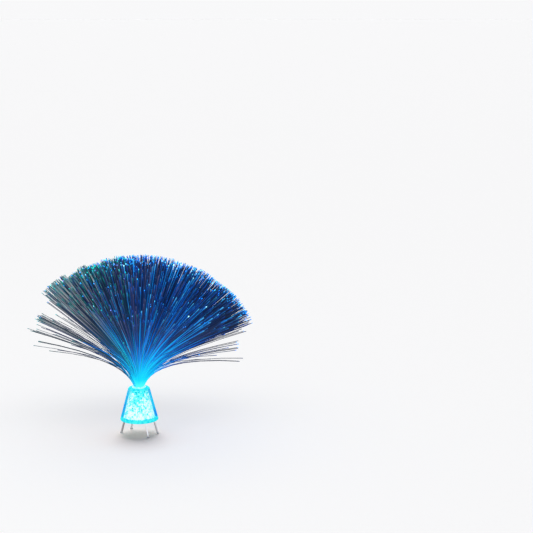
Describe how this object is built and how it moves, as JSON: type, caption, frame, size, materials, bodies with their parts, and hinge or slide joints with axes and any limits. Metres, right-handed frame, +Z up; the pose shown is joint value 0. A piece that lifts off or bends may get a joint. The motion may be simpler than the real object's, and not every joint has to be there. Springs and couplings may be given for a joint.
{
  "type": "fibre optic lamp",
  "caption": "Battery table lamp: a clear cone of lit crystal chips on splayed steel legs, with a dome of light fibres that turns in its top and lifts out.",
  "frame": {"origin": "on the table, under the middle of the cone", "axes": "+Z up through the middle of the cone and the spray; the front leg is towards -Y"},
  "size_m": [0.4117, 0.39, 0.3395],
  "materials": {
    "clear_acrylic": "clear, polished",
    "crystal": "clear chips, lit from below",
    "white_plastic": "fine satin",
    "black_plastic": "satin",
    "polished_steel": "polished",
    "zinc_steel": "zinc plated",
    "clear_silicone": "clear, soft",
    "cell_wrap": "printed film, bare ends",
    "contact_metal": "nickel plated",
    "circuit_board": "solder mask",
    "led": "clear lens",
    "frosted_plastic": "frosted",
    "wire_cover": "soft cover",
    "potted_root": "fibres set in clear resin, polished",
    "light_fibre": "polished light fibre",
    "grey_fibre": "polished light fibre, dimmer"
  },
  "bodies": {
    "base": {"cone_shell": "clear_acrylic", "crystals": "crystal", "crystal_filling": "crystal", "base_plate": "white_plastic", "plate_screws": "zinc_steel", "leg_right": "polished_steel", "leg_front": "polished_steel", "leg_left": "polished_steel", "leg_back": "polished_steel", "foot_tips": "clear_silicone", "battery_tube": "white_plastic", "cell_1": "cell_wrap", "cell_2": "cell_wrap", "cell_3": "cell_wrap", "top_contacts": "contact_metal", "side_contact": "contact_metal", "hinge_pin": "zinc_steel", "switch_body": "black_plastic", "switch_terminals": "contact_metal", "led_board": "circuit_board", "colour_leds": "led", "light_cup": "white_plastic", "diffuser": "frosted_plastic", "ring_board": "circuit_board", "ring_leds": "led", "control_chip": "black_plastic", "resistors": "black_plastic", "lead_wires": "wire_cover"},
    "door": {"battery_door": "white_plastic", "door_contacts": "contact_metal"},
    "switch": {"switch_knob": "black_plastic"},
    "collar": {"collar_ring": "clear_acrylic"},
    "spray": {"ferrule": "clear_acrylic", "fibre_root": "potted_root", "fibres_crown": "light_fibre", "fibres_shoulder": "light_fibre", "fibres_skirt": "light_fibre", "stray_fibres": "grey_fibre"}
  },
  "joints": [
    {"name": "switch_slide", "type": "slide", "parent": "base", "child": "switch", "axis": [-0.7986, 0.6018, 0], "range_m": [0, 0.004]},
    {"name": "door_hinge", "type": "hinge", "parent": "base", "child": "door", "pos_m": [-0.00915, -0.01214, 0.0291], "axis": [-0.7986, 0.6018, 0], "range_deg": [0, 72]},
    {"name": "spray_turn", "type": "hinge", "parent": "base", "child": "collar", "pos_m": [0, 0, 0.09], "axis": [0, 0, 1], "continuous": true},
    {"name": "spray_lift", "type": "slide", "parent": "collar", "child": "spray", "axis": [0, 0, 1], "range_m": [0, 0.012]}
  ]
}
